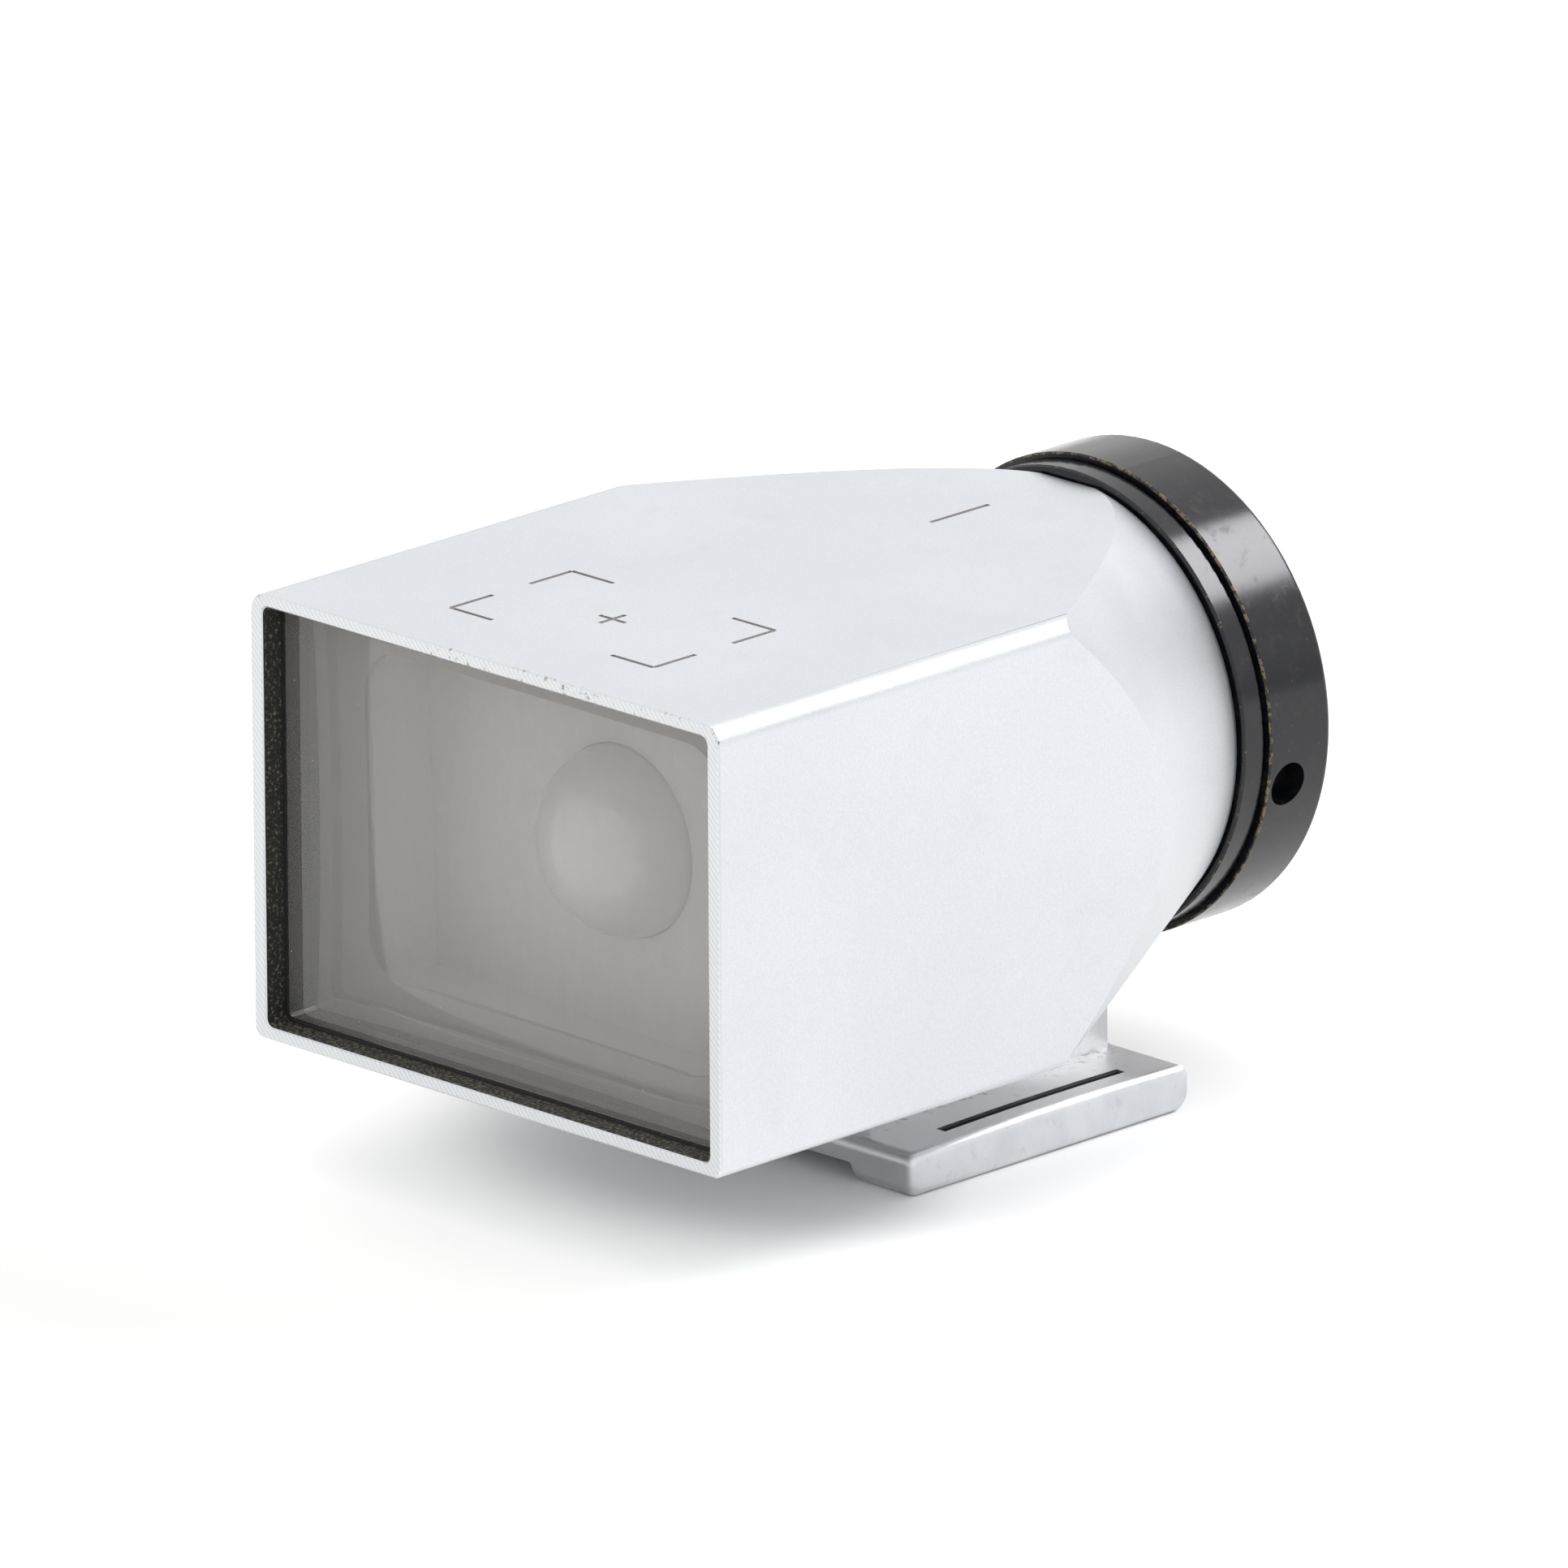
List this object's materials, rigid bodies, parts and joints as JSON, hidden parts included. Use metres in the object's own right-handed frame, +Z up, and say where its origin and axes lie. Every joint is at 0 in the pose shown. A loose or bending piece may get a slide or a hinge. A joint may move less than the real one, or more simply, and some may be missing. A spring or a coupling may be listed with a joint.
{
  "type": "shoe-mount optical viewfinder",
  "caption": "Shoe-mount optical viewfinder: box housing with a rectangular front window, tapering to a round eyepiece, on a slotted accessory-shoe foot.",
  "frame": {"origin": "middle of the shoe foot's underside plane", "axes": "+Z up, -Y the way the window faces, +X to the right seen from the front window's side"},
  "size_m": [0.0268, 0.0387, 0.0251],
  "materials": {
    "satin_chrome": "satin",
    "foot_nickel": "satin",
    "optical_glass": "polished",
    "black_lacquer": "satin",
    "black_paper": "matte",
    "black_metal": "matte",
    "black_enamel": "gloss",
    "steel": "satin"
  },
  "bodies": {
    "finder": {"housing": "satin_chrome", "front_lens": "optical_glass", "front_lens_seal": "black_lacquer", "lens_shim": "black_paper", "field_mask": "black_metal", "spacer_tube": "black_metal", "lens_plate": "black_metal", "inner_lens": "optical_glass", "inner_lens_retainer": "black_metal", "eyepiece_tube": "black_metal", "guide_pin": "steel", "tube_washer": "black_paper", "lock_ring": "black_enamel", "pedestal": "satin_chrome", "shoe_foot": "foot_nickel", "foot_screws": "steel", "dowel_pins": "steel"},
    "eye_cell": {"eye_cell": "black_metal", "eye_lens_flint": "optical_glass", "eye_lens_crown": "optical_glass", "eye_lens_retainer": "black_metal"},
    "eyepiece_ring": {"eyepiece_ring": "black_enamel", "cell_keeper": "black_metal"}
  },
  "joints": [
    {"name": "eye_cell_travel", "type": "slide", "parent": "finder", "child": "eye_cell", "axis": [0, 1, 0], "range_m": [-0.00008, 0.001]},
    {"name": "eyepiece_turn", "type": "hinge", "parent": "eye_cell", "child": "eyepiece_ring", "pos_m": [0, 0.0137, 0.01492], "axis": [0, 1, 0], "range_deg": [-54, 720]}
  ],
  "couplings": [
    {"joint": "eye_cell_travel", "follows": "eyepiece_turn", "m_per_rad": 0.000079577}
  ]
}
